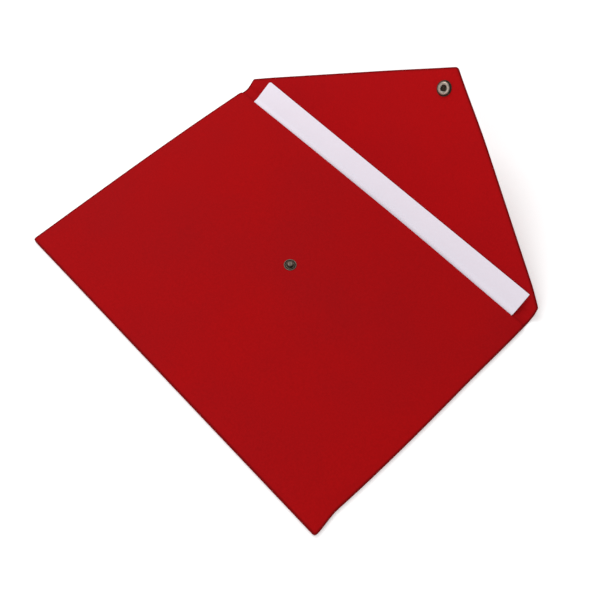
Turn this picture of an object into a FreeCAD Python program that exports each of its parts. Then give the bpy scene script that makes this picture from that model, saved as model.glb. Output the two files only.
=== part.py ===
import FreeCAD, Part
import math
import os

from FreeCAD import Vector

# Envelope-style document wallet: a flat sewn pouch with a pointed flap that snaps shut, holding one sheet.
# Millimetres. X runs across the pouch, Y from its bottom edge towards the fold, Z up from the table.
# The origin is the middle of the back panel's underside.

# Document sheet
sheet_width = 297.0
sheet_height = 210.0
sheet_thickness = 0.3
sheet_gap = 0.25            # above the back lining
sheet_offset = 2.2          # sideways from the pouch's middle
sheet_bend_setback = 1.0    # the sheet starts to bend up this far inside the mouth
sheet_bend_radius = 11.0
sheet_free_length = 16.0    # straight stretch above the bend
sheet_lean_gap = 0.8        # from the sheet's raised end to the flap that it leans on

# Pouch
side_room = 13.5            # from the sheet to each sewn side, at the bottom corners
end_room = 22.0             # what the back panel's length has over the sheet's
side_bow = 1.2              # how far each sewn side swells outwards at half its length
corner_radius = 3.0
sharpest_corner = 0.5       # round left on the corners of the layers inside
mouth_setback = 4.5         # from the end of the back panel down to the front panel's mouth
crown_rise = 1.8            # the front panel's middle stands this much above its sides

# Layers of every panel, from the outside in
shell_thickness = 0.45
board_thickness = 0.5
lining_thickness = 0.35
board_inset = 6.0           # bare edge round each stiffening board, where the cloth is turned in
board_root_gap = 2.0        # bare strip between the fold and the flap's board
lining_inset = 0.6
seam_width = 6.0
seam_inset = 0.4
seam_thickness = 0.9        # the turned-in edges between the two panels, pressed flat
facing_depth = 14.0         # strip that finishes the inside of the mouth
facing_thickness = 0.3
facing_end_gap = 3.0
thread_inset = 3.0
thread_width = 0.5

# Flap
flap_length = 120.8         # hinge axis to the tip
flap_shoulder = 9.9         # hinge axis to the corners where the pointed part starts
flap_side_inset = 0.2
flap_corner_radius = 1.5
tip_radius = 2.0
rest_angle = 52.0           # how far the flap stands up from lying open on the table
table_gap = 0.35            # underside of the open flap to the table
hinge_height = 3.5
hinge_setout = 2.9          # hinge axis beyond the end of the back panel
fold_gap = 0.3              # between the fold band and the flap's own layers

# Snap fastener
stud_setback = 98.9         # from the end of the back panel down to the stud's centre
stud_flange_diameter = 10.4
stud_flange_thickness = 0.6
stud_head_diameter = 4.8
stud_head_round = 0.35
stud_neck_diameter = 4.2
stud_neck_height = 0.5
stud_height = 1.7           # nub above its flange
post_disc_diameter = 10.0
post_disc_thickness = 0.5
post_diameter = 2.6
post_grip = 1.0             # how far the post reaches up into the stud
socket_diameter = 12.5
socket_flange_thickness = 0.7
socket_ring_diameter = 10.6
socket_height = 2.3
socket_floor = 0.4
socket_clearance = 0.2      # round the stud's head, on the radius
socket_rim_radius = 0.5
spring_wire = 0.5
spring_split = 0.5          # gap in the ring
spring_clearance = 0.1      # round the stud's head, on the radius
spring_depth = 0.5          # below the socket's face
cap_diameter = 12.5
cap_rim = 0.5
cap_height = 1.3
rivet_diameter = 3.0
rivet_head_diameter = 4.2
rivet_head_thickness = 0.25
hole_clearance = 0.05       # round each post, on the radius
disc_clearance = 0.03       # between the post's disc and the crowned lining
snap_gap = 0.2              # between the closed socket and the stud's flange

# Places that follow from the sizes above
half_width = sheet_width / 2 + side_room
back_end = (sheet_height + end_room) / 2
mouth_y = back_end - mouth_setback
panel_thickness = shell_thickness + board_thickness + lining_thickness
front_under = panel_thickness + seam_thickness
front_top = front_under + panel_thickness
crown_top = front_top + crown_rise
hinge_y = back_end + hinge_setout
flap_offset = hinge_height - table_gap - panel_thickness / 2
stud_y = back_end - stud_setback
flap_face = panel_thickness / 2 - flap_offset
flap_back = -panel_thickness / 2 - flap_offset
socket_face = flap_face + socket_height
snap_reach = hinge_y - stud_y

# The flap is shut once its socket sits just above the stud's flange
stud_seat = crown_top + stud_flange_thickness + snap_gap
shut_tilt = math.asin((stud_seat - hinge_height + socket_face) / (snap_reach - socket_diameter / 2))
socket_reach = snap_reach / math.cos(shut_tilt)
shut_travel = 180.0 - math.degrees(shut_tilt) - rest_angle

# The flap is fully open once the cap on its outside nearly touches the table
open_angle = math.degrees(math.asin(cap_height / socket_reach))
open_travel = rest_angle - open_angle

# The fold band is an arc that is tangent to the back panel and to the raised flap
rest = math.radians(rest_angle)
fold_meet = (panel_thickness / 2 - hinge_height + flap_offset * math.cos(rest)) / math.sin(rest)
fold_tangent = hinge_setout + fold_meet * math.cos(rest) + flap_offset * math.sin(rest)
fold_radius = fold_tangent / math.tan(rest / 2)
flap_root = fold_meet + fold_tangent

# The sheet bends up by the angle that brings its end just clear of the raised flap's inner face.
# Measured square to that face, a sheet turned by lean from the flap's slope ends at
# bend_level + sheet_free_length * sin(lean) - sheet_bend_radius * cos(lean)
sheet_level = panel_thickness + sheet_gap + sheet_thickness / 2
bend_start = mouth_y - sheet_bend_setback
bend_level = (hinge_y - bend_start) * math.sin(rest) - (hinge_height - sheet_level) * math.cos(rest)
bend_level += sheet_bend_radius * math.cos(rest)
lean_rise = flap_face + sheet_lean_gap + sheet_thickness / 2 - bend_level
lean = math.atan2(sheet_bend_radius, sheet_free_length)
lean += math.asin(lean_rise / math.hypot(sheet_bend_radius, sheet_free_length))
sheet_bend_angle = rest_angle + math.degrees(lean)

# Working sizes for shapes that only cut others
BIG = 1000.0
TALL = 100.0
OVERRUN = 1.0               # past the face that is cut
SECTION_OVERRUN = 2.4       # past the pouch's widest place, on each side
NECK_OVERLAP = 0.4          # of the stud's neck into its head, which makes them one solid
TINY = 1e-6


def prism(face, low, high):
    """The face, drawn on the table plane, made into a solid from height low to height high."""
    solid = face.extrude(Vector(0, 0, high - low))
    solid.translate(Vector(0, 0, low))
    return solid


def block(x, y, z):
    """A box from (low, high) pairs."""
    corner = Vector(x[0], y[0], z[0])
    return Part.makeBox(x[1] - x[0], y[1] - y[0], z[1] - z[0], corner)


def disc(radius, low, high):
    """A round plate about the Z axis."""
    return Part.makeCylinder(radius, high - low, Vector(0, 0, low))


def rounded_upright(solid, radius, chosen):
    """Rounds the upright edges whose place on the plan is picked by chosen(x, y)."""
    edges = []
    for edge in solid.Edges:
        start = edge.Vertexes[0].Point
        end = edge.Vertexes[-1].Point
        upright = abs(start.z - end.z) > TINY and math.hypot(start.x - end.x, start.y - end.y) < TINY
        if upright and chosen(start.x, start.y):
            edges.append(edge)
    return solid.makeFillet(radius, edges)


def pouch_plan(inset, low, high):
    """The pouch's outline, drawn inset from its sewn edges, as a plate: bowed sides and round bottom corners."""
    x = half_width - inset
    y = inset - back_end
    right = Part.Arc(Vector(x, y, 0), Vector(x + side_bow, 0, 0), Vector(x, back_end, 0))
    left = Part.Arc(Vector(-x, back_end, 0), Vector(-x - side_bow, 0, 0), Vector(-x, y, 0))
    top = Part.LineSegment(Vector(x, back_end, 0), Vector(-x, back_end, 0))
    bottom = Part.LineSegment(Vector(-x, y, 0), Vector(x, y, 0))
    wire = Part.Wire([bottom.toShape(), right.toShape(), top.toShape(), left.toShape()])
    plate = prism(Part.Face(wire), low, high)
    radius = max(corner_radius - inset, sharpest_corner)
    return rounded_upright(plate, radius, lambda px, py: py < 0)


def crown_arc(level, backwards=False):
    """Half of a crowned section as an arc: at height level over the sides, and crown_rise higher in the middle."""
    reach = half_width + side_bow + SECTION_OVERRUN
    drop = crown_rise * (reach / half_width) ** 2
    ends = [Vector(-reach, 0, level + crown_rise - drop), Vector(reach, 0, level + crown_rise - drop)]
    if backwards:
        ends.reverse()
    return Part.Arc(ends[0], Vector(0, 0, level + crown_rise), ends[1])


def crown_layer(low, high, y_low, y_high):
    """A layer between two crowned surfaces, running along Y."""
    under = crown_arc(low)
    over = crown_arc(high, backwards=True)
    right = Part.LineSegment(under.EndPoint, over.StartPoint)
    left = Part.LineSegment(over.EndPoint, under.StartPoint)
    wire = Part.Wire([under.toShape(), right.toShape(), over.toShape(), left.toShape()])
    layer = Part.Face(wire).extrude(Vector(0, y_high - y_low, 0))
    layer.translate(Vector(0, y_low, 0))
    return layer


def front_layer(inset, low, high, y_high):
    """One layer of the crowned front panel, cut to the pouch's outline."""
    plan = pouch_plan(inset, -TALL, TALL)
    return plan.common(crown_layer(low, high, -BIG, y_high))


def stud_hole(low, high):
    """The hole that the stud's post goes through."""
    hole = disc(post_diameter / 2 + hole_clearance, low, high)
    hole.translate(Vector(0, stud_y, 0))
    return hole


def back_panel():
    """Shell, board and lining of the back, flat on the table."""
    shell_top = shell_thickness
    board_top = shell_top + board_thickness
    return {
        "back_shell": pouch_plan(0, 0, shell_top),
        "back_board": pouch_plan(board_inset, shell_top, board_top),
        "back_lining": pouch_plan(lining_inset, board_top, panel_thickness),
    }


def front_panel():
    """Lining, board and shell of the front, up to the mouth, with the post's hole through all three."""
    lining_top = front_under + lining_thickness
    board_top = lining_top + board_thickness
    hole = stud_hole(0, TALL)
    return {
        "front_lining": front_layer(lining_inset, front_under, lining_top, mouth_y).cut(hole),
        "front_board": front_layer(board_inset, lining_top, board_top, mouth_y - lining_inset).cut(hole),
        "front_shell": front_layer(0, board_top, front_top, mouth_y).cut(hole),
    }


def pouch_seams():
    """The turned-in edges that join the panels on three sides, the thread through them and the mouth's facing."""
    filling = crown_layer(-TALL, front_under, -BIG, mouth_y)
    border = pouch_plan(seam_inset, panel_thickness, TALL).cut(pouch_plan(seam_width, 0, TALL))
    thread_low = panel_thickness + (seam_thickness - thread_width) / 2
    thread_high = thread_low + thread_width
    thread = pouch_plan(thread_inset, thread_low, thread_high)
    thread = thread.cut(pouch_plan(thread_inset + thread_width, 0, TALL))
    thread = thread.common(block((-BIG, BIG), (-BIG, mouth_y), (0, BIG)))
    seams = border.common(filling).cut(thread)
    inner = half_width - seam_width
    facing_half = inner - facing_end_gap
    facing_span = block((-facing_half, facing_half), (mouth_y - facing_depth, mouth_y), (0, BIG))
    facing = crown_layer(front_under - facing_thickness, front_under, -BIG, mouth_y).common(facing_span)
    return {
        "bottom_seam": seams.common(block((-inner, inner), (-BIG, 0), (0, BIG))),
        "side_seam_left": seams.common(block((-BIG, -inner), (-BIG, BIG), (0, BIG))),
        "side_seam_right": seams.common(block((inner, BIG), (-BIG, BIG), (0, BIG))),
        "seam_thread": thread,
        "mouth_facing": facing,
    }


def snap_stud():
    """Flange and nub on the front, with a blind hole underneath for the post."""
    flange_top = stud_flange_thickness
    neck_top = flange_top + stud_neck_height
    nub_top = flange_top + stud_height
    head = disc(stud_head_diameter / 2, neck_top, nub_top)
    head = head.makeFillet(stud_head_round, [edge for edge in head.Edges if edge.BoundBox.ZLength < TINY])
    flange = disc(stud_flange_diameter / 2, 0, flange_top)
    rim = [edge for edge in flange.Edges if edge.BoundBox.ZMin > flange_top - TINY]
    flange = flange.makeFillet(flange_top / 2, rim)
    neck = disc(stud_neck_diameter / 2, 0, neck_top + NECK_OVERLAP)
    stud = flange.fuse(neck).fuse(head).removeSplitter()
    stud = stud.cut(disc(post_diameter / 2, 0, post_grip))
    stud.translate(Vector(0, stud_y, crown_top))
    return stud


def snap_post():
    """Flat disc inside the pouch whose post goes up through the front panel into the stud."""
    inside = front_under + crown_rise - disc_clearance
    plate = disc(post_disc_diameter / 2, inside - post_disc_thickness, inside)
    post = disc(post_diameter / 2, inside - post_disc_thickness, crown_top + post_grip)
    whole = plate.fuse(post).removeSplitter()
    whole.translate(Vector(0, stud_y, 0))
    return whole


def flap_plan(inset, low, high, root):
    """The flap's outline as a plate, lying open along +Y from the hinge axis, with its pointed end rounded."""
    x = half_width - flap_side_inset - inset
    side = half_width - flap_side_inset
    rise = flap_length - flap_shoulder
    slant = math.hypot(side, rise)
    corner_y = flap_shoulder + inset * (rise - slant) / side
    tip_y = flap_length - inset * slant / side
    points = [
        Vector(-x, root, 0),
        Vector(x, root, 0),
        Vector(x, corner_y, 0),
        Vector(0, tip_y, 0),
        Vector(-x, corner_y, 0),
        Vector(-x, root, 0),
    ]
    plate = prism(Part.Face(Part.makePolygon(points)), low, high)
    plate = rounded_upright(plate, tip_radius, lambda px, py: abs(px) < TINY)
    return rounded_upright(plate, flap_corner_radius, lambda px, py: abs(py - corner_y) < TINY)


def flap_layers():
    """Shell, board, turned-in edge and facing of the flap, as it lies open, with the rivet's hole."""
    shell_top = flap_back + shell_thickness
    board_top = shell_top + board_thickness
    root = flap_root + fold_gap
    board = flap_plan(board_inset, shell_top, board_top, root + board_root_gap)
    border = flap_plan(seam_inset, shell_top, board_top, root).cut(board)
    hole = disc(rivet_diameter / 2 + hole_clearance, -TALL, TALL)
    hole.translate(Vector(0, socket_reach, 0))
    return {
        "flap_shell": flap_plan(0, flap_back, shell_top, root).cut(hole),
        "flap_board": board.cut(hole),
        "flap_seam": border,
        "flap_facing": flap_plan(lining_inset, board_top, flap_face, root).cut(hole),
    }


def snap_cap():
    """Domed cap on the flap's outside; its rivet goes through the flap and is spread inside the socket."""
    radius = cap_diameter / 2
    dome = cap_height - cap_rim
    sphere_radius = (radius ** 2 + dome ** 2) / (2 * dome)
    sphere = Part.makeSphere(sphere_radius, Vector(0, 0, flap_back - cap_height + sphere_radius))
    cap = sphere.common(disc(radius, flap_back - cap_height - OVERRUN, flap_back))
    floor = flap_face + socket_floor
    rivet = disc(rivet_diameter / 2, flap_back - cap_rim, floor)
    head = disc(rivet_head_diameter / 2, floor, floor + rivet_head_thickness)
    whole = cap.fuse(rivet).fuse(head).removeSplitter()
    whole.translate(Vector(0, socket_reach, 0))
    return whole


def spring_section():
    """Inner radius, outer radius, lowest and highest height of the ring spring in the socket's wall."""
    inner = stud_head_diameter / 2 + spring_clearance
    high = socket_face - spring_depth
    return inner, inner + spring_wire, high - spring_wire, high


def snap_socket():
    """Flanged ring on the flap's inside, with the recess that takes the stud and a groove for its spring."""
    flange = disc(socket_diameter / 2, flap_face, flap_face + socket_flange_thickness)
    ring = disc(socket_ring_diameter / 2, flap_face, socket_face)
    body = flange.fuse(ring).removeSplitter()
    rims = [edge for edge in body.Edges if edge.BoundBox.ZMin > socket_face - TINY]
    body = body.makeFillet(socket_rim_radius, rims)
    recess_radius = stud_head_diameter / 2 + socket_clearance
    recess = disc(recess_radius, flap_face + socket_floor, socket_face + OVERRUN)
    inner, outer, low, high = spring_section()
    groove = disc(outer, low, high)
    hole = disc(rivet_diameter / 2 + hole_clearance, flap_face - OVERRUN, socket_face)
    body = body.cut(recess).cut(groove).cut(hole)
    body.translate(Vector(0, socket_reach, 0))
    return body


def socket_spring():
    """Split wire ring that grips behind the stud's head."""
    inner, outer, low, high = spring_section()
    ring = disc(outer, low, high).cut(disc(inner, low, high))
    half_split = spring_split / 2
    split = block((0, outer + OVERRUN), (-half_split, half_split), (low - OVERRUN, high + OVERRUN))
    ring = ring.cut(split)
    ring.translate(Vector(0, socket_reach, 0))
    return ring


def raised(solid):
    """A piece of the flap, drawn as it lies open, turned up about the hinge axis to the flap's resting angle."""
    turned = solid.rotated(Vector(0, 0, 0), Vector(1, 0, 0), rest_angle)
    return turned.translated(Vector(0, hinge_y, hinge_height))


def band(start, radius, angle, thickness, lead, tail):
    """A section in the YZ plane: lead straight along +Y to start, an arc upwards by angle, then tail straight on."""
    turn = math.radians(angle)
    half = thickness / 2
    centre = Vector(0, start.y, start.z + radius)

    def around(r, share):
        return centre + Vector(0, r * math.sin(turn * share), -r * math.cos(turn * share))

    along = Vector(0, math.cos(turn), math.sin(turn)) * tail
    back = Vector(0, -lead, 0)
    outer = [around(radius + half, share) for share in (0, 0.5, 1)]
    inner = [around(radius - half, share) for share in (0, 0.5, 1)]
    edges = [Part.Arc(*outer).toShape(), Part.Arc(*inner).toShape()]
    if lead > 0:
        edges.append(Part.makeLine(outer[0], outer[0] + back))
        edges.append(Part.makeLine(inner[0], inner[0] + back))
    if tail > 0:
        edges.append(Part.makeLine(outer[2], outer[2] + along))
        edges.append(Part.makeLine(inner[2], inner[2] + along))
    edges.append(Part.makeLine(outer[0] + back, inner[0] + back))
    edges.append(Part.makeLine(outer[2] + along, inner[2] + along))
    return Part.Face(Part.Wire(Part.__sortEdges__(edges)))


def fold_band():
    """The soft cloth without a board between the back panel and the flap, as it lies at rest."""
    thickness = shell_thickness + lining_thickness
    section = band(Vector(0, back_end, panel_thickness / 2), fold_radius, rest_angle, thickness, 0, 0)
    width = 2 * (half_width - flap_side_inset)
    solid = section.extrude(Vector(width, 0, 0))
    solid.translate(Vector(-width / 2, 0, 0))
    return solid


def document_sheet():
    """Card sheet that lies on the back lining and bends up past the mouth to lean on the flap."""
    start = Vector(0, bend_start, sheet_level)
    lead = sheet_height - sheet_free_length - sheet_bend_radius * math.radians(sheet_bend_angle)
    section = band(start, sheet_bend_radius, sheet_bend_angle, sheet_thickness, lead, sheet_free_length)
    solid = section.extrude(Vector(sheet_width, 0, 0))
    solid.translate(Vector(sheet_offset - sheet_width / 2, 0, 0))
    return solid


nodes = {}
nodes.update(back_panel())
nodes.update(front_panel())
nodes.update(pouch_seams())
nodes["snap_stud"] = snap_stud()
nodes["snap_post"] = snap_post()
nodes["fold_band"] = fold_band()
flap = flap_layers()
flap["snap_cap"] = snap_cap()
flap["snap_socket"] = snap_socket()
flap["socket_spring"] = socket_spring()
for name, solid in flap.items():
    nodes[name] = raised(solid)
nodes["document_sheet"] = document_sheet()

os.makedirs("parts", exist_ok=True)
for name, solid in nodes.items():
    if not solid.isValid() or solid.Volume <= 0:
        raise ValueError(name + " is not a valid solid")
    solid.exportStep(os.path.join("parts", name + ".step"))
    box = solid.BoundBox
    print(f"{name}: {len(solid.Solids)} solid, {solid.Volume:.1f} mm3, z {box.ZMin:.2f} to {box.ZMax:.2f}")

print(f"hinge at y {hinge_y:.3f}, z {hinge_height:.3f}")
print(f"flap shuts by {shut_travel:.2f} degrees and opens by {open_travel:.2f} degrees")
print(f"sheet bends up by {sheet_bend_angle:.2f} degrees")
print(f"stud at y {stud_y:.2f}, crown top {crown_top:.2f}, fold radius {fold_radius:.2f}, root {flap_root:.2f}")
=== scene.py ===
import math

import bpy
import numpy as np
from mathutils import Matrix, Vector


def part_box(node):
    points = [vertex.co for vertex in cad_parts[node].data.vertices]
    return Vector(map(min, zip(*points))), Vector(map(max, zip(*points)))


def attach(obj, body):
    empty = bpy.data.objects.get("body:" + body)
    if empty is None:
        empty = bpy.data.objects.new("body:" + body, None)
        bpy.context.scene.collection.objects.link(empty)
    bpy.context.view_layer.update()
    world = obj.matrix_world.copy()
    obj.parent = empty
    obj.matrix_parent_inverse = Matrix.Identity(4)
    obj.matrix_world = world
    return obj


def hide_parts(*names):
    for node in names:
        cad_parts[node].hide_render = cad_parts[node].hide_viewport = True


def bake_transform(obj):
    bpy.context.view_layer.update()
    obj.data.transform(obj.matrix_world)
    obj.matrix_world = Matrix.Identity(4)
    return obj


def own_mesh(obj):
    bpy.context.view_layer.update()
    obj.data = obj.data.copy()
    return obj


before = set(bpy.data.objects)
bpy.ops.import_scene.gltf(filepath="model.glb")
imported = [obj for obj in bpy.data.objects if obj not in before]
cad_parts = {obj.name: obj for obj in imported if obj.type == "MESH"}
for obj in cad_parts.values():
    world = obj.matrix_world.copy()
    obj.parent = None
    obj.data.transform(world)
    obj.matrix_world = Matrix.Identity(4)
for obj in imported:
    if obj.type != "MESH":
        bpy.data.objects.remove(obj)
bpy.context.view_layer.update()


# ---------------------------------------------------------------------------------------------------------
# Outer cloth. One piece of closely woven red cloth is the back of the pouch, runs on round the fold and is
# the outside of the pointed flap. Its edges are turned in all round: between the two panels along the three
# sewn sides, and under the flap's facing along the flap.

cloth = 0.00045
half_panel = 0.00065                    # half of a panel: cloth, board and lining
bottom_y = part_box("back_shell")[0].y
pouch_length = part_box("back_shell")[1].y - bottom_y
side_bow = 0.0012
pouch_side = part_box("back_shell")[1].x - side_bow
flap_side = pouch_side - 0.0002
fold_radius = 0.00789
flap_angle = math.radians(52.0)
flap_start = pouch_length + fold_radius * flap_angle
flap_corner = flap_start + 0.00772
flap_tip = flap_start + 0.11862
mouth = pouch_length - 0.0045
edge_reach = 0.002                      # from the outermost row of the flat area to the turned edge
seam_line = 0.0011                      # where the two turned edges meet, above the back panel's middle layer


def smooth(value, start, end):
    """0 before start, 1 after end, and 3t^2 - 2t^3 of the way t between them."""
    t = np.clip((value - start) / (end - start), 0, 1)
    return t * t * (3 - 2 * t)


def bent(s, h, flat, radius, angle):
    """Distance along and height of a point s along a strip and h above it: the strip is flat for a length,
    turns upwards by angle round an arc of that radius, then goes straight on."""
    turn = np.clip((s - flat) / radius, 0, angle)
    beyond = np.maximum(s - flat - radius * angle, 0)
    along = np.minimum(s, flat) + (radius - h) * np.sin(turn) + beyond * np.cos(turn)
    return along, radius - (radius - h) * np.cos(turn) + beyond * np.sin(turn)


def wallet_half_width(s, inset):
    """Half width at s of the wallet's outline, drawn inset: sides bowed as a parabola, the fold a little
    narrower, then straight slants that meet at the tip."""
    bow = side_bow * np.maximum(1 - (2 * s / pouch_length - 1) ** 2, 0)
    side = pouch_side + bow - (pouch_side - flap_side) * smooth(s, pouch_length, flap_start) - inset
    slope = flap_side / (flap_tip - flap_corner)
    return np.minimum(side, (flap_tip - inset * math.hypot(1, slope) / slope - s) * slope)


corner_draw = 0.0036                    # draws the right side in; with its fading, by 2.1 mm at most
right_swell = 0.0015
left_swell = 0.0014
right_bow = 0.0017                      # of the flap's slants, outwards
left_bow = 0.0005
slant_out = (0.565, 0.825)              # across and along, square to a slant


def eased(x, s):
    """Where point x, s of the even outline really lies, for cloth that was cut and sewn by hand. The right
    side is drawn in beside the bottom corner, which leaves that corner pointed, and swells towards the fold.
    The left side swells evenly, and the flap's slants bow outwards. Each change fades out halfway to the
    middle."""
    even = np.maximum(wallet_half_width(s, 0), 0.0001)
    share = smooth(np.abs(x) / even, 0.5, 1)
    past = smooth(s, flap_corner - 0.004, flap_corner + 0.004)
    drawn_in = corner_draw * np.exp(-s / 0.047) * smooth(s, 0.002, 0.026)
    swollen = right_swell * smooth(s, 0.15, pouch_length) * (1 - 0.55 * smooth(s, flap_start, flap_corner))
    left = left_swell * smooth(s, 0, 0.19) * (1 - 0.6 * smooth(s, pouch_length, flap_corner))
    sideways = np.where(x > 0, swollen - drawn_in, -left) * (1 - past)
    from_tip = (flap_tip - s) / (flap_tip - flap_corner)
    rise = smooth(from_tip, 0, 0.35) * (1 - 0.5 * smooth(from_tip, 0.9, 1))
    bowed = rise * np.where(x > 0, right_bow, left_bow) * past
    return x + share * (sideways + np.sign(x) * slant_out[0] * bowed), s + share * slant_out[1] * bowed


def wallet_place(x, s, h):
    """Point x across and s along the cloth, h above its middle layer: along the pouch, the fold and the
    flap."""
    x, s = eased(x, s)
    along, up = bent(s, h, pouch_length, fold_radius, flap_angle)
    return np.stack([x, bottom_y + along, half_panel + up], axis=-1)


def inset_corner(inset):
    """How far along the flap's corner lies in the outline drawn inset."""
    slope = flap_side / (flap_tip - flap_corner)
    return flap_corner + inset * (1 - math.hypot(1, slope)) / slope


def steps(stops, counts):
    """Places along a line: counts[k] equal steps from stops[k] to stops[k + 1]."""
    runs = [np.linspace(a, b, n, endpoint=False) for a, b, n in zip(stops[:-1], stops[1:], counts)]
    return np.concatenate(runs + [stops[-1:]])


def wallet_grid(inset, first):
    """Flat grid (x, s) inside the outline drawn inset, from first along to just short of the tip. Rows and
    columns are close together by the edges, the fold and the corners."""
    corner = inset_corner(inset)
    slope = flap_side / (flap_tip - flap_corner)
    tip = flap_tip - inset * math.hypot(1, slope) / slope - 0.0004
    stops = [first, first + 0.003, 0.03, mouth - 0.004, pouch_length, flap_start + 0.003, corner - 0.002,
             corner + 0.002, corner + 0.01, tip - 0.004, tip]
    s = steps(np.array(stops), [8, 9, 48, 16, 24, 4, 12, 5, 36, 10])
    half = steps(np.array([0, 0.97, 1]), [38, 10])
    across = np.concatenate([-half[:0:-1], half])
    return across[None, :] * wallet_half_width(s, inset)[:, None], np.repeat(s[:, None], across.size, axis=1)


def border_of(rows, columns):
    """Numbers of the points round a grid's border, once round against the clock."""
    right = columns * np.arange(1, rows) + columns - 1
    top = columns * rows - 2 - np.arange(columns - 1)
    left = columns * np.arange(rows - 2, 0, -1)
    return np.concatenate([np.arange(columns), right, top, left])


def outward(line, reach):
    """Unit normals of a closed line, square to the chord from reach behind each point to reach ahead, so that
    they turn gradually past a corner."""
    closed = np.vstack([line, line[:1]])
    place = np.concatenate([[0], np.cumsum(np.linalg.norm(np.diff(closed, axis=0), axis=1))])
    ends = []
    for shift in (reach, -reach):
        at = np.mod(place[:-1] + shift, place[-1])
        ends.append(np.stack([np.interp(at, place, closed[:, axis]) for axis in (0, 1)], axis=1))
    chord = ends[0] - ends[1]
    return np.stack([chord[:, 1], -chord[:, 0]], axis=1) / np.linalg.norm(chord, axis=1)[:, None]


def layer(x, s, over, under, rings, reach):
    """Flat points, heights and faces of a closed layer: the grid at height over, rings (out, height) from
    that face's border round the edge, and the grid again at height under. out is measured square to the
    border."""
    rows, columns = x.shape
    border = border_of(rows, columns)
    line = np.stack([x.ravel()[border], s.ravel()[border]], axis=1)
    normal = outward(line, reach)
    count, size = border.size, x.size
    plan = [np.stack([x.ravel(), s.ravel()], axis=1)]
    heights = [np.broadcast_to(over, x.shape).ravel()]
    for out, height in rings:
        plan.append(line + normal * np.broadcast_to(out, count)[:, None])
        heights.append(np.broadcast_to(height, count))
    plan.append(plan[0])
    heights.append(np.broadcast_to(under, x.shape).ravel())

    first = np.arange(size).reshape(rows, columns)
    face = np.stack([first[:-1, :-1], first[:-1, 1:], first[1:, 1:], first[1:, :-1]], axis=-1).reshape(-1, 4)
    last = size + count * len(rings)
    loops = [border] + [size + count * k + np.arange(count) for k in range(len(rings))] + [last + border]
    bands = [np.stack([np.roll(a, -1), a, b, np.roll(b, -1)], axis=1) for a, b in zip(loops[:-1], loops[1:])]
    faces = np.concatenate([face] + bands + [last + face[:, ::-1]])
    return np.concatenate(plan), np.concatenate(heights), faces


def new_piece(name, points, faces, finish, plan=None, marks={}):
    """A smooth mesh object. plan gives each point's place on the flat cloth as a UV map in metres, and marks
    hold one number a point for the finish to read."""
    mesh = bpy.data.meshes.new(name)
    mesh.from_pydata(points, [], faces)
    mesh.polygons.foreach_set("use_smooth", np.ones(len(mesh.polygons), bool))
    for mark, values in marks.items():
        mesh.attributes.new(mark, "FLOAT", "POINT").data.foreach_set("value", values.astype(np.float32))
    if plan is not None:
        corners = np.empty(len(mesh.loops), np.int32)
        mesh.loops.foreach_get("vertex_index", corners)
        flat_place = mesh.uv_layers.new(name="cloth_plan").uv
        flat_place.foreach_set("vector", plan[corners].astype(np.float32).ravel())
    mesh.materials.append(finish)
    piece = bpy.data.objects.new(name, mesh)
    bpy.context.scene.collection.objects.link(piece)
    return piece


def add(tree, kind, settings={}, **inputs):
    """A node of that kind with its settings, and its inputs by name: a socket is linked, a value is set."""
    node = tree.nodes.new(kind)
    for key, value in settings.items():
        setattr(node, key, value)
    for key, value in inputs.items():
        numbered = key.startswith("in") and key[2:].isdigit()
        spot = node.inputs[int(key[2:]) if numbered else key.replace("_", " ")]
        if isinstance(value, bpy.types.NodeSocket):
            tree.links.new(value, spot)
        else:
            spot.default_value = value
    return node


def blank_finish(name):
    """A new material with only its shader: the material, its node tree and the shader."""
    finish = bpy.data.materials.new(name)
    finish.use_nodes = True
    return finish, finish.node_tree, finish.node_tree.nodes["Principled BSDF"]


def noise(tree, place, scale, detail, roughness=0.5):
    """Cloudy noise from 0 to 1, read at place."""
    node = add(tree, "ShaderNodeTexNoise", {}, Vector=place, Scale=scale, Detail=detail, Roughness=roughness)
    return node.outputs["Fac"]


def remapped(tree, value, low, high, to_low=0.0, to_high=1.0):
    """value carried in proportion from low..high to to_low..to_high, and held between those two."""
    node = add(tree, "ShaderNodeMapRange", {}, Value=value, From_Min=low, From_Max=high,
               To_Min=to_low, To_Max=to_high)
    return node.outputs[0]


def product(tree, first, second):
    """The two numbers multiplied."""
    return add(tree, "ShaderNodeMath", {"operation": "MULTIPLY"}, in0=first, in1=second).outputs[0]


def times_plus(tree, value, times, plus):
    """value multiplied by times, with plus added."""
    node = add(tree, "ShaderNodeMath", {"operation": "MULTIPLY_ADD"}, in0=value, in1=times, in2=plus)
    return node.outputs[0]


def two_colours(tree, share, first, second):
    """The first colour where share is 0, the second where it is 1, and a mix of them between."""
    node = add(tree, "ShaderNodeMix", {"data_type": "RGBA"}, in0=share, in6=(*first, 1), in7=(*second, 1))
    return node.outputs[2]


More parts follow.
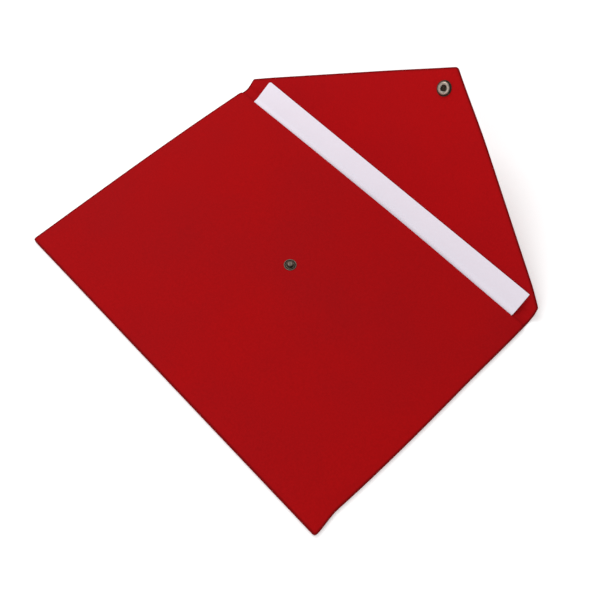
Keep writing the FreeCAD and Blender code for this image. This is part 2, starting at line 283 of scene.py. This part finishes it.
def red_cloth(name, light, dark, thread_pitch, weave_depth):
    """Closely woven red cloth: fine over and under threads as a bump, the red drifting slowly between two
    shades, a finer mottle of fibres, and painted shade along folded edges, as dark as their mark says."""
    finish, tree, shader = blank_finish(name)
    plan = add(tree, "ShaderNodeUVMap", {"uv_map": "cloth_plan"}).outputs["UV"]
    axes = add(tree, "ShaderNodeSeparateXYZ", {}, Vector=plan)
    waves = []
    for axis in ("X", "Y"):
        phase = product(tree, axes.outputs[axis], math.pi / thread_pitch)
        waves.append(add(tree, "ShaderNodeMath", {"operation": "SINE"}, in0=phase).outputs[0])
    weave = product(tree, waves[0], waves[1])

    place = add(tree, "ShaderNodeTexCoord").outputs["Object"]
    drift = noise(tree, place, 9.0, 3.0, 0.55)
    fibres = noise(tree, place, 700.0, 2.0, 0.6)
    shade = two_colours(tree, remapped(tree, drift, 0.35, 0.65), dark, light)
    speck = remapped(tree, fibres, 0.3, 0.7, 0.93, 1.06)
    thread = remapped(tree, weave, -1.0, 1.0, 0.95, 1.04)
    # Painted shade: the edge mark darkens the cloth to half its colour along folded edges.
    edge = add(tree, "ShaderNodeAttribute", {"attribute_name": "folded_edge"}).outputs["Fac"]
    shade_and_wear = remapped(tree, edge, 0.0, 1.0, 1.0, 0.5)
    tone = product(tree, product(tree, speck, thread), shade_and_wear)
    colour = add(tree, "ShaderNodeVectorMath", {"operation": "SCALE"}, in0=shade, Scale=tone).outputs[0]
    tree.links.new(colour, shader.inputs["Base Color"])

    tree.links.new(remapped(tree, drift, 0.3, 0.7, 0.74, 0.86), shader.inputs["Roughness"])
    puckers = noise(tree, place, 45.0, 2.0)
    soft = add(tree, "ShaderNodeBump", {}, Strength=0.35, Distance=0.0004, Height=puckers).outputs[0]
    fine = add(tree, "ShaderNodeBump", {}, Strength=weave_depth, Distance=0.00006, Height=weave, Normal=soft)
    tree.links.new(fine.outputs[0], shader.inputs["Normal"])
    shader.inputs["Specular IOR Level"].default_value = 0.06
    shader.inputs["Sheen Weight"].default_value = 0.09
    shader.inputs["Sheen Roughness"].default_value = 0.5
    shader.inputs["Sheen Tint"].default_value = (0.7, 0.03, 0.04, 1)
    return finish


def folded(depth, width):
    """Weight of the painted edge shade: 1 at a folded edge, falling off with depth in from it as a bell of
    that width.
    """
    return np.exp(-((depth / width) ** 2))


def thinned(s):
    """1 round the fold, where there is no board between the cloths, and 0 on both panels."""
    past_pouch = smooth(s, pouch_length + 0.0002, pouch_length + 0.0025)
    return past_pouch * (1 - smooth(s, flap_start - 0.0003, flap_start + 0.0021))


def half_turn(out, low, high, bulge, count=9):
    """Rings round half an oval that sticks out to out, from height low up to height high."""
    angle = np.linspace(-math.pi / 2, math.pi / 2, count)
    middle, half = (low + high) / 2, (high - low) / 2
    return [(out - bulge + bulge * math.cos(a), middle + half * math.sin(a)) for a in angle]


def raw_edge(out, first, last):
    """Rings round the cloth's cut edge, which ends at out: from the face at height first to that at last."""
    return [(out, first), (out - 0.0002, (first + last) / 2), (out, last)]


def corner_distance(edge_x, edge_s, corners):
    """Distance of each border point from the nearest corner."""
    return np.linalg.norm(np.stack([edge_x, edge_s], axis=1)[:, None] - corners[None], axis=2).min(axis=1)


outer_finish = red_cloth("outer_red_cloth", (0.345, 0.0022, 0.0032), (0.312, 0.0019, 0.0034), 0.00048, 0.25)

x, s = wallet_grid(edge_reach, edge_reach)
outside = -half_panel + 0.00025 * thinned(s)
border = border_of(*x.shape)
edge_x, edge_s = x.ravel()[border], s.ravel()[border]
low = outside.ravel()[border]
drop_at_fold = 0.00057                  # the turned edge lies lower past the mouth, without a front panel,
drop_on_flap = 0.00023                  # and lower again along the flap
past_mouth = smooth(edge_s, mouth, mouth + 0.005)
past_fold = smooth(edge_s, flap_start - 0.0005, flap_start + 0.004)
high = seam_line - drop_at_fold * past_mouth - drop_on_flap * past_fold
places = [(pouch_side - edge_reach, edge_reach), (flap_side - edge_reach, inset_corner(edge_reach)),
          (0, flap_tip)]
corners = np.array([[side * across, along] for side in (-1, 1) for across, along in places])
to_corner = corner_distance(edge_x, edge_s, corners)
fold_turning = 0.0007                   # width of the turned edge round the fold
more_turning = 0.0049                   # and how much wider it is everywhere else
at_fold = smooth(edge_s, mouth - 0.001, mouth + 0.001)
at_fold = at_fold * (1 - smooth(edge_s, flap_start + 0.0025, flap_start + 0.005))
turn_in = np.minimum(fold_turning + more_turning * (1 - at_fold), edge_reach + 0.85 * to_corner)
bulge = 0.42 * (high - low)
inner_bulge = np.maximum(bulge - cloth, 0.00002)
rings = half_turn(edge_reach - cloth, low + cloth, high - cloth, inner_bulge, 7)
rings += raw_edge(edge_reach - turn_in, high - cloth, high)
rings += half_turn(edge_reach, low, high, bulge)[::-1]
plan, heights, faces = layer(x, s, outside + cloth, outside, rings, 0.0016)
# Depth in from the edge sets the painted shade along the turned edges; the turn itself gets it in full.
depth = np.minimum(wallet_half_width(plan[:, 1], 0) - np.abs(plan[:, 0]), plan[:, 1])
depth[x.size:-x.size] = np.where(np.abs(depth[x.size:-x.size]) < edge_reach, 0, depth[x.size:-x.size])
outer_cloth = new_piece("outer_cloth", wallet_place(plan[:, 0], plan[:, 1], heights), faces, outer_finish,
                        plan, {"folded_edge": folded(depth, 0.0009)})
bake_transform(outer_cloth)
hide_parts("back_shell", "fold_band", "flap_shell", "flap_seam")


# ---------------------------------------------------------------------------------------------------------
# Boards of the back panel and the flap. Stiff grey board, cut 6 mm smaller than the panel and glued in
# between its two layers of cloth, so it only shows in the panel's flatness.

def grey_board(name):
    """Pulp board: warm grey with flecks and a slightly rough face."""
    finish, tree, shader = blank_finish(name)
    place = add(tree, "ShaderNodeTexCoord").outputs["Object"]
    pulp = noise(tree, place, 260.0, 4.0, 0.7)
    tree.links.new(two_colours(tree, pulp, (0.42, 0.4, 0.37), (0.6, 0.58, 0.54)), shader.inputs["Base Color"])
    bump = add(tree, "ShaderNodeBump", {}, Strength=0.3, Distance=0.0001, Height=pulp)
    tree.links.new(bump.outputs[0], shader.inputs["Normal"])
    shader.inputs["Roughness"].default_value = 0.9
    return finish


board_finish = grey_board("grey_board")
for name in ("back_board", "flap_board"):
    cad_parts[name].data.materials.clear()
    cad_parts[name].data.materials.append(board_finish)


# ---------------------------------------------------------------------------------------------------------
# Inner cloth. One piece of the same red cloth lines the back panel, covers the inside of the fold and faces
# the flap. It is cut a millimetre short of the outer cloth's folded edge and sewn and glued down over it.

lining = 0.00035
facing_inset = 0.0010
lining_reach = 0.0014                   # from the outermost row of the flat area to the edge
inner_finish = red_cloth("inner_red_cloth", (0.362, 0.0023, 0.0036), (0.328, 0.0020, 0.0038), 0.00044, 0.22)

x, s = wallet_grid(facing_inset + lining_reach, facing_inset + lining_reach)
top = half_panel - 0.00024 * thinned(s)
edge_top = top.ravel()[border_of(*x.shape)]
rings = half_turn(lining_reach, edge_top - lining, edge_top, lining / 2, 7)[::-1]
plan, heights, faces = layer(x, s, top, top - lining, rings, lining_reach)
# Weaker painted shade along the facing's and lining's edge.
depth = np.minimum(wallet_half_width(plan[:, 1], facing_inset) - np.abs(plan[:, 0]), plan[:, 1])
inner_cloth = new_piece("inner_cloth", wallet_place(plan[:, 0], plan[:, 1], heights), faces, inner_finish,
                        plan, {"folded_edge": 0.6 * folded(np.maximum(depth, 0), 0.0006)})
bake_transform(inner_cloth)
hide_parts("back_lining", "flap_facing")


# ---------------------------------------------------------------------------------------------------------
# Front panel: its outer cloth, board and lining. The cloth is turned in along the three sewn sides, where
# it meets the outer cloth's turned edge, and turned over the mouth as a 14 mm facing. The closed end is
# pressed flat, and the panel swells a little from there to the mouth.

front_middle = 0.00285                  # the front panel's middle layer at its sides, above the table
crown = 0.0018
meeting = half_panel + seam_line        # height at which the two turned edges meet


def front_level(x, s):
    """Height of the front panel's middle layer: a parabola across the pouch, growing from nothing at the
    closed end to its full rise a third of the way up."""
    return front_middle + crown * (1 - (x / pouch_side) ** 2) * smooth(s, -0.004, 0.07)


def front_grid(inset, mouth_inset):
    """Flat grid (x, s) inside the front panel's outline drawn inset, from the closed end to mouth_inset short
    of the mouth."""
    stops = [inset, inset + 0.003, 0.03, 0.12, 0.15, mouth - 0.006, mouth - mouth_inset]
    s = steps(np.array(stops), [8, 10, 34, 20, 26, 10])
    half = steps(np.array([0, 0.12, 0.97, 1]), [12, 34, 10])
    across = np.concatenate([-half[:0:-1], half])
    return across[None, :] * wallet_half_width(s, inset)[:, None], np.repeat(s[:, None], across.size, axis=1)


mouth_skew = 0.0012


def front_place(plan, heights):
    """The front panel's points: plan as it lies, at those heights above the table. The mouth runs a little
    out of square, further up at the left than at the right."""
    x, s = eased(plan[:, 0], plan[:, 1])
    skew = mouth_skew * (1 - smooth(x, 0.02, 0.17)) * smooth(s, mouth - 0.03, mouth)
    return np.stack([x, bottom_y + s + skew, heights], axis=-1)


def front_depth(x, s):
    """Distance in from the nearest edge of the front panel."""
    return np.minimum(np.minimum(wallet_half_width(s, 0) - np.abs(x), s), mouth - s)


stud_s = (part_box("snap_stud")[0].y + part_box("snap_stud")[1].y) / 2 - bottom_y
x, s = front_grid(edge_reach, edge_reach)
sewn_depth = np.minimum(wallet_half_width(s, 0) - np.abs(x), s)
pressed_by_seams = 0.00028 * (1 - smooth(sewn_depth, 0.0015, 0.008))
pressed_by_stud = 0.00005 * np.exp(-((x / 0.009) ** 2 + ((s - stud_s) / 0.009) ** 2))
pressed = pressed_by_seams + pressed_by_stud
outside = front_level(x, s) + half_panel - pressed
border = border_of(*x.shape)
edge_x, edge_s = x.ravel()[border], s.ravel()[border]
at_mouth = smooth(edge_s, mouth - edge_reach - 0.002, mouth - edge_reach)
high = outside.ravel()[border]
low = meeting + 0.00003 + at_mouth * (front_level(edge_x, edge_s) - half_panel - 0.0003 - meeting - 0.00003)
ends = (edge_reach, mouth - edge_reach)
corners = np.array([[side * (pouch_side - edge_reach), along] for side in (-1, 1) for along in ends])
to_corner = corner_distance(edge_x, edge_s, corners)
sewn_turning = 0.0056
facing_more = 0.0084                    # the facing at the mouth is this much wider
turn_in = np.minimum(sewn_turning + facing_more * at_mouth, edge_reach + 0.85 * to_corner)
inner = 0.0003 + 0.00015 * (1 - at_mouth)   # thickness of the turned cloth, pressed thinner at the mouth
bulge = 0.42 * (high - low)
rings = half_turn(edge_reach, low, high, bulge)[::-1]
rings += raw_edge(edge_reach - turn_in, low, low + inner)
rings += half_turn(edge_reach - cloth, low + inner, high - cloth, np.maximum(bulge - cloth, 0.00002), 7)
plan, heights, faces = layer(x, s, outside, outside - cloth, rings, 0.0016)
# Depth in from the edge sets the painted shade along the turned edges; the turn itself gets it in full.
depth = np.maximum(np.minimum(wallet_half_width(plan[:, 1], 0) - np.abs(plan[:, 0]), plan[:, 1]), 0)
depth[x.size:-x.size] = np.where(depth[x.size:-x.size] < edge_reach, 0, depth[x.size:-x.size])
front_cloth = new_piece("front_cloth", front_place(plan, heights), faces, outer_finish, plan,
                        {"folded_edge": folded(depth, 0.0009)})
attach(front_cloth, "pouch")
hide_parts("front_shell", "mouth_facing", "bottom_seam", "side_seam_left", "side_seam_right")

mouth_gap = 0.0010                      # the board and the lining both stop this far short of the mouth
rounding = 0.0006
for name, inset, low, high, finish, node in (
        ("front_board_sheet", 0.0062, -0.0003, 0.00018, board_finish, "front_board"),
        ("front_lining_cloth", 0.0010, -0.00065, -0.0003, inner_finish, "front_lining")):
    x, s = front_grid(inset + rounding, mouth_gap + rounding)
    level = front_level(x, s)
    edge_level = level.ravel()[border_of(*x.shape)]
    rings = half_turn(rounding, edge_level + low, edge_level + high, (high - low) / 2, 5)[::-1]
    plan, heights, faces = layer(x, s, level + high, level + low, rings, 0.0008)
    # Weaker painted shade along the edges of these layers.
    depth = np.maximum(front_depth(plan[:, 0], plan[:, 1]) - inset, 0)
    piece = new_piece(name, front_place(plan, heights), faces, finish, plan,
                      {"folded_edge": 0.6 * folded(depth, 0.0006)})
    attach(piece, "pouch")
    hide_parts(node)


# ---------------------------------------------------------------------------------------------------------
# Seam thread. A lockstitch of spun red thread holds the turned edges together round the three sewn sides,
# three millimetres in and out of sight between the two panels.

thread_radius = 0.0002
stitch = 0.003
seam_inset = 0.0032
weave_height = 0.0002                   # how far each stitch rises and sinks through the turned edges


def tube(path, radius, sides, finish, name):
    """A closed round tube along a path of points: at each point a ring square to the path's direction."""
    ahead = np.gradient(path, axis=0)
    ahead /= np.linalg.norm(ahead, axis=1)[:, None]
    across = np.cross(ahead, [0.0, 0.0, 1.0])
    across /= np.linalg.norm(across, axis=1)[:, None]
    up = np.cross(across, ahead)
    angle = np.linspace(0, 2 * math.pi, sides, endpoint=False)
    ring = np.cos(angle)[None, :, None] * across[:, None] + np.sin(angle)[None, :, None] * up[:, None]
    points = (path[:, None] + radius * ring).reshape(-1, 3)
    count = len(path)
    number = np.arange(count * sides).reshape(count, sides)
    beside = np.roll(number, -1, axis=1)
    faces = np.stack([number[:-1], number[1:], beside[1:], beside[:-1]], axis=-1).reshape(-1, 4).tolist()
    faces += [number[0].tolist(), number[-1, ::-1].tolist()]
    return new_piece(name, points, faces, finish)


thread_finish, tree, shader = blank_finish("spun_red_thread")
place = add(tree, "ShaderNodeTexCoord").outputs["Object"]
twist = add(tree, "ShaderNodeTexWave", {"bands_direction": "DIAGONAL"}, Vector=place,
            Scale=260.0, Distortion=1.0).outputs["Fac"]
colour = two_colours(tree, twist, (0.22, 0.003, 0.004), (0.36, 0.005, 0.007))
tree.links.new(colour, shader.inputs["Base Color"])
shader.inputs["Roughness"].default_value = 0.6
side = np.linspace(mouth - 0.0001, 0.0035, 320)
side_x = wallet_half_width(side, seam_inset)
bottom = np.linspace(side_x[-1], -side_x[-1], 440)[1:-1]
seam_x = np.concatenate([side_x, bottom, -side_x[::-1]])
seam_s = np.concatenate([side, np.full(bottom.size, seam_inset), side[::-1]])
run = np.concatenate([[0], np.cumsum(np.hypot(np.diff(seam_x), np.diff(seam_s)))])
seam_x, seam_s = eased(seam_x, seam_s)
seam_z = meeting + weave_height * np.sin(2 * math.pi * run / stitch)
seam_path = np.stack([seam_x, bottom_y + seam_s, seam_z], axis=1)
seam_stitches = tube(seam_path, thread_radius, 6, thread_finish, "seam_stitches")
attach(seam_stitches, "pouch")
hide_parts("seam_thread")


# ---------------------------------------------------------------------------------------------------------
# Snap fastener. Four turned and pressed metal parts in antique grey, bright with wear on their high rings and
# with painted shade in their walls and hollows: a stud on the front panel with its post riveted from inside,
# a socket with a wire spring on the flap's inside and its cap on the outside.

def antique_metal(name):
    """Dark antique plating, bright with wear on its high rings. A mark says how bright each ring is: walls,
    grooves and the socket's hole have it at 0, near black, which is painted shade. Fine scratches and
    blotches vary both its colour and its polish."""
    finish, tree, shader = blank_finish(name)
    place = add(tree, "ShaderNodeTexCoord").outputs["Object"]
    blotch = noise(tree, place, 900.0, 4.0, 0.65)
    rub_and_shade = add(tree, "ShaderNodeAttribute", {"attribute_name": "rub_and_shade"}).outputs["Fac"]
    uneven = times_plus(tree, blotch, 0.4, -0.2)
    shade_and_wear = add(tree, "ShaderNodeMath", {"operation": "ADD", "use_clamp": True}, in0=rub_and_shade, in1=uneven)
    shade_and_wear = shade_and_wear.outputs[0]
    # The near-black end is dark oxide, darkened further as painted shade for walls, grooves and the socket's
    # hole.
    colour = two_colours(tree, shade_and_wear, (0.03, 0.021, 0.015), (0.62, 0.52, 0.44))
    tree.links.new(colour, shader.inputs["Base Color"])
    tree.links.new(remapped(tree, shade_and_wear, 0.0, 1.0, 0.55, 0.26), shader.inputs["Roughness"])
    bump = add(tree, "ShaderNodeBump", {}, Strength=0.25, Distance=0.00004, Height=blotch)
    tree.links.new(bump.outputs[0], shader.inputs["Normal"])
    shader.inputs["Metallic"].default_value = 1.0
    return finish


def turned(name, profile, place, finish, sides=72):
    """A shape turned on a lathe: profile rows are (radius, height, wear and shade mark), from the pole at its
    first row round to the pole at its last; a mark of 0 is near black, which in walls and hollows is painted
    shade. place(x, y, height) sets it on the wallet."""
    profile = np.array(profile)
    radius, height, rub_and_shade = profile[1:-1].T
    angle = np.linspace(0, 2 * math.pi, sides, endpoint=False)
    x = radius[:, None] * np.cos(angle)
    y = radius[:, None] * np.sin(angle)
    x = np.concatenate([[0.0], x.ravel(), [0.0]])
    y = np.concatenate([[0.0], y.ravel(), [0.0]])
    h = np.concatenate([profile[:1, 1], np.repeat(height, sides), profile[-1:, 1]])
    number = 1 + np.arange(radius.size * sides).reshape(radius.size, sides)
    beside = np.roll(number, -1, axis=1)
    faces = np.stack([number[:-1], number[1:], beside[1:], beside[:-1]], axis=-1).reshape(-1, 4).tolist()
    last = 1 + number.size
    faces += np.stack([np.zeros(sides, int), number[0], beside[0]], axis=1).tolist()
    faces += np.stack([np.full(sides, last), beside[-1], number[-1]], axis=1).tolist()
    marks = {"rub_and_shade": np.concatenate([profile[:1, 2], np.repeat(rub_and_shade, sides), profile[-1:, 2]])}
    return new_piece(name, place(x, y, h), faces, finish, marks=marks)


def rounded_profile(points, setback):
    """A lathe profile through points (radius, height, wear and shade mark) in millimetres, made metres. Each
    inner point is rounded by a quadratic curve that starts and ends setback away from it."""
    points = np.array(points, float)
    out = [points[0]]
    for before, here, after in zip(points[:-2], points[1:-1], points[2:]):
        lengths = [np.hypot(*(other - here)[:2]) for other in (before, after)]
        reach = [min(setback, 0.48 * length) / max(length, 1e-9) for length in lengths]
        start, end = here + (before - here) * reach[0], here + (after - here) * reach[1]
        for t in (0, 0.33, 0.67, 1):
            out.append((1 - t) ** 2 * start + 2 * t * (1 - t) * here + t ** 2 * end)
    out.append(points[-1])
    return np.array(out) * [0.001, 0.001, 1]


snap_finish = antique_metal("antique_snap_metal")
stud_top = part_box("snap_stud")[0].z
stud_y = (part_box("snap_stud")[0].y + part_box("snap_stud")[1].y) / 2


def on_front(x, y, h):
    """Centred on the stud, h above the front cloth."""
    return np.stack([x, stud_y + y, stud_top + h], axis=-1)


# Third column: the wear and shade mark; its zeros in the walls and grooves are painted shade.
stud_points = [(0, 2.25, 0.13), (0.7, 2.25, 0.13), (1.0, 2.3, 0.16), (1.8, 2.28, 0.15), (2.4, 1.95, 0.1),
               (2.4, 1.3, 0.0), (2.1, 1.1, 0.0), (2.1, 0.3, 0.0), (2.6, 0.12, 0.0), (3.0, 0.35, 0.12),
               (3.45, 0.35, 0.1), (3.7, 0.15, 0.0), (4.2, 0.15, 0.0), (4.5, 0.5, 0.12), (4.9, 0.55, 0.24),
               (5.2, 0.3, 0.08), (5.2, 0.0, 0.0), (1.35, 0.0, 0.0), (1.35, 0.9, 0.0), (0, 0.9, 0.0)]
snap_stud = turned("snap_stud_turned", rounded_profile(stud_points, 0.18)[::-1], on_front, snap_finish)
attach(snap_stud, "pouch")
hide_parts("snap_stud")

post_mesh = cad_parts["snap_post"].data
post_mesh.materials.clear()
post_mesh.materials.append(snap_finish)

hinge_y = 0.1189                        # the fold's axis
hinge_z = 0.0035
flap_root = 0.00218                     # along the flap, from beside that axis to where the flap is flat
ring_middle = (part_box("socket_spring")[0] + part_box("socket_spring")[1]) / 2
reach_along = (ring_middle.y - hinge_y) * math.cos(flap_angle)
reach_up = (ring_middle.z - hinge_z) * math.sin(flap_angle)
socket_s = flap_start + (reach_along + reach_up) - flap_root


def on_flap(x, y, h):
    """Centred on the socket, h above the flap's middle layer."""
    return wallet_place(x, socket_s + y, h)


face = 0.65                             # millimetres from the flap's middle layer to its inner face
# Third column: the wear and shade mark; its zeros on the inner wall, the outer wall and the hole are painted
# shade.
socket_points = [(0, face + 0.42, 0.0), (2.0, face + 0.42, 0.0), (2.6, face + 0.5, 0.0),
                 (2.6, face + 1.25, 0.05), (2.9, face + 1.3, 0.0), (2.9, face + 1.85, 0.0),
                 (2.62, face + 1.9, 0.1), (2.8, face + 2.18, 0.3), (3.4, face + 2.3, 0.55),
                 (4.2, face + 2.25, 0.5), (4.9, face + 1.9, 0.4), (5.3, face + 1.4, 0.0),
                 (5.3, face + 0.7, 0.0), (5.6, face + 0.5, 0.0), (5.9, face + 0.62, 0.05),
                 (6.15, face + 0.55, 0.04), (6.25, face + 0.3, 0.0), (6.25, face, 0.0),
                 (1.6, face, 0.0), (0, face + 0.1, 0.0)]
snap_socket = turned("snap_socket_turned", rounded_profile(socket_points, 0.2)[::-1], on_flap, snap_finish)
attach(snap_socket, "flap")
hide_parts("snap_socket")

wire_finish, tree, shader = blank_finish("bare_spring_wire")
drawn = noise(tree, add(tree, "ShaderNodeTexCoord").outputs["Object"], 1500.0, 2.0)
tree.links.new(remapped(tree, drawn, 0.0, 1.0, 0.25, 0.4), shader.inputs["Roughness"])
shader.inputs["Base Color"].default_value = (0.45, 0.43, 0.4, 1)
shader.inputs["Metallic"].default_value = 1.0
wire_ring = 0.00275                     # radius of the ring, which is open over 12 degrees
wire_radius = 0.00025
wire_height = 0.00220                   # above the flap's middle layer
angle = np.linspace(math.radians(6), math.radians(354), 90)
wire = np.stack([wire_ring * np.cos(angle), wire_ring * np.sin(angle), np.zeros(90)], axis=1)
socket_wire = tube(wire, wire_radius, 10, wire_finish, "socket_wire_ring")
wire_points = np.empty(len(socket_wire.data.vertices) * 3)
socket_wire.data.vertices.foreach_get("co", wire_points)
wire_points = wire_points.reshape(-1, 3)
wire_points = on_flap(wire_points[:, 0], wire_points[:, 1], wire_points[:, 2] + wire_height)
socket_wire.data.vertices.foreach_set("co", wire_points.ravel())
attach(socket_wire, "flap")
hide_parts("socket_spring")

# The rivet head seen in the socket's hole has mark 0: painted shade.
cap_points = [(0, -1.95, 0.5), (2.5, -1.88, 0.55), (4.6, -1.62, 0.7), (5.7, -1.38, 0.85), (6.1, -1.3, 0.9),
              (6.25, -1.05, 0.7), (6.25, -0.66, 0.1), (1.45, -0.66, 0.0), (1.45, 1.0, 0.0), (2.0, 1.07, 0.0),
              (2.05, 1.25, 0.0), (1.1, 1.27, 0.0), (0.6, 1.1, 0.0), (0, 1.05, 0.0)]
snap_cap = turned("snap_cap_domed", rounded_profile(cap_points, 0.15), on_flap, snap_finish)
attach(snap_cap, "flap")
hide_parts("snap_cap")


# ---------------------------------------------------------------------------------------------------------
# Document sheet. One landscape sheet of smooth white card lies in the pouch; its end comes out at the mouth
# and bends up against the raised flap.

card_width = 0.297
card_length = 0.210
card_thickness = 0.0003
card_offset = 0.0022
card_level = 0.0017
card_bend = math.radians(43.74)
card_radius = 0.011
card_end = 0.016
card_flat = card_length - card_end - card_radius * card_bend
card_y = 0.1105 - card_flat
corner_clip = 0.0014
top_forward = 0.00025                   # how far the sheet's end stands past the bend's own length,
top_skew = 0.00145                      # and how much less at the right end and more at the left
left_start = 0.0012                     # the left end starts this far out where the bend starts
left_cut = 0.0031                       # and is cut back by this much up to the sheet's top edge
lift = 0.00022                          # keeps the sheet clear of the inner cloth where it leaves the pouch

card_finish, tree, shader = blank_finish("white_card")
place = add(tree, "ShaderNodeTexCoord").outputs["Object"]
fibres = noise(tree, place, 1100.0, 3.0, 0.6)
cloudy = noise(tree, place, 30.0, 2.0)
mixed = times_plus(tree, fibres, 0.5, product(tree, cloudy, 0.5))
colour = two_colours(tree, mixed, (0.705, 0.67, 0.745), (0.765, 0.72, 0.80))
tree.links.new(colour, shader.inputs["Base Color"])
bump = add(tree, "ShaderNodeBump", {}, Strength=0.12, Distance=0.00003, Height=fibres)
tree.links.new(bump.outputs[0], shader.inputs["Normal"])
shader.inputs["Roughness"].default_value = 0.62
shader.inputs["Specular IOR Level"].default_value = 0.3

stops = [0.0001, card_flat, card_flat + 0.008, card_length - 0.004, card_length - 0.0001]
s = steps(np.array(stops), [30, 20, 12, 12])
across = steps(np.array([-1.0, -0.97, 0.97, 1.0]), [10, 60, 10])
x = across[None, :] * (card_width / 2 - 0.0001) + 0 * s[:, None]
s = s[:, None] + 0 * x
nearness = np.maximum(0, 1 - (x + card_width / 2) / corner_clip)
s = np.minimum(s, card_length - 0.0001 - corner_clip * nearness * (s > card_length - 0.01))
ripple = 0.00006 * np.sin(x / 0.021) * smooth(s, card_flat + 0.004, card_length)
edge_ripple = ripple.ravel()[border_of(*x.shape)]
rings = [(0.0001, 0.00009 + edge_ripple), (0.0001, -0.00009 + edge_ripple)]
plan, heights, faces = layer(x, s, ripple + card_thickness / 2, ripple - card_thickness / 2, rings, 0.0001)
skewed_s = plan[:, 1] + top_forward - top_skew * plan[:, 0] / (card_width / 2)
left_end = 1 - smooth(plan[:, 0], -card_width / 2, -0.11)
past_bend = np.clip((plan[:, 1] - card_flat) / (card_length - card_flat), 0, 1)
trimmed = left_end * (left_cut * past_bend - left_start)
along, up = bent(skewed_s, heights, card_flat, card_radius, card_bend)
lifted = lift * smooth(plan[:, 1], card_flat - 0.03, card_flat - 0.008)
points = np.stack([plan[:, 0] + trimmed + card_offset, card_y + along, card_level + lifted + up], axis=-1)
document_card = new_piece("document_card", points, faces, card_finish, plan)
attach(document_card, "sheet")
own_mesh(document_card)
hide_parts("document_sheet")


# ---------------------------------------------------------------------------------------------------------
# Studio. A plain white floor that also glows faintly, a painted light that fills in the shadows cast on
# it, a pale surround and two large soft lamps, so that the wallet is lit evenly, and the camera above the
# flap's side of the pouch.

floor_finish, tree, shader = blank_finish("pale_floor")
grain = noise(tree, add(tree, "ShaderNodeTexCoord").outputs["Object"], 3.0, 2.0)
tree.links.new(two_colours(tree, grain, (0.93, 0.93, 0.93), (0.95, 0.95, 0.95)), shader.inputs["Base Color"])
shader.inputs["Roughness"].default_value = 0.9
shader.inputs["Specular IOR Level"].default_value = 0.1
# Painted light: the floor glows, which fills in the shadows cast on it and lights the wallet a little from
# below.
shader.inputs["Emission Color"].default_value = (1, 1, 1, 1)
shader.inputs["Emission Strength"].default_value = 0.2
floor_points = np.array([[-3, -3, -0.00005], [3, -3, -0.00005], [3, 3, -0.00005], [-3, 3, -0.00005]], float)
floor = new_piece("floor", floor_points, [[0, 1, 2, 3]], floor_finish)

world = bpy.data.worlds.new("pale_surround")
world.use_nodes = True
world.node_tree.nodes["Background"].inputs["Color"].default_value = (1, 1, 1, 1)
world.node_tree.nodes["Background"].inputs["Strength"].default_value = 0.57
bpy.context.scene.world = world


def soft_lamp(name, place, aim, size, watts):
    """A square lamp of that size, turned to shine from place towards aim."""
    data = bpy.data.lights.new(name, "AREA")
    data.size = size
    data.energy = watts
    lamp = bpy.data.objects.new(name, data)
    lamp.location = place
    lamp.rotation_mode = "QUATERNION"
    lamp.rotation_quaternion = (Vector(aim) - Vector(place)).to_track_quat("-Z", "Y")
    bpy.context.scene.collection.objects.link(lamp)


soft_lamp("key_lamp", (-0.5, 0.1, 0.8), (0, 0.05, 0), 0.6, 4.2)
soft_lamp("fill_lamp", (0.2, -1.3, 1.0), (0, 0.05, 0), 1.2, 9.3)

camera_data = bpy.data.cameras.new("camera")
camera_data.sensor_width = 36.0
camera_data.lens = 44.39
camera = bpy.data.objects.new("camera", camera_data)
camera.location = (0.2103, -0.1924, 0.5169)
camera.rotation_euler = [math.radians(a) for a in (27.411, -1.234, 45.725)]
bpy.context.scene.collection.objects.link(camera)
bpy.context.scene.camera = camera
bpy.context.scene.view_settings.view_transform = "Standard"
bpy.context.scene.view_settings.look = "None"
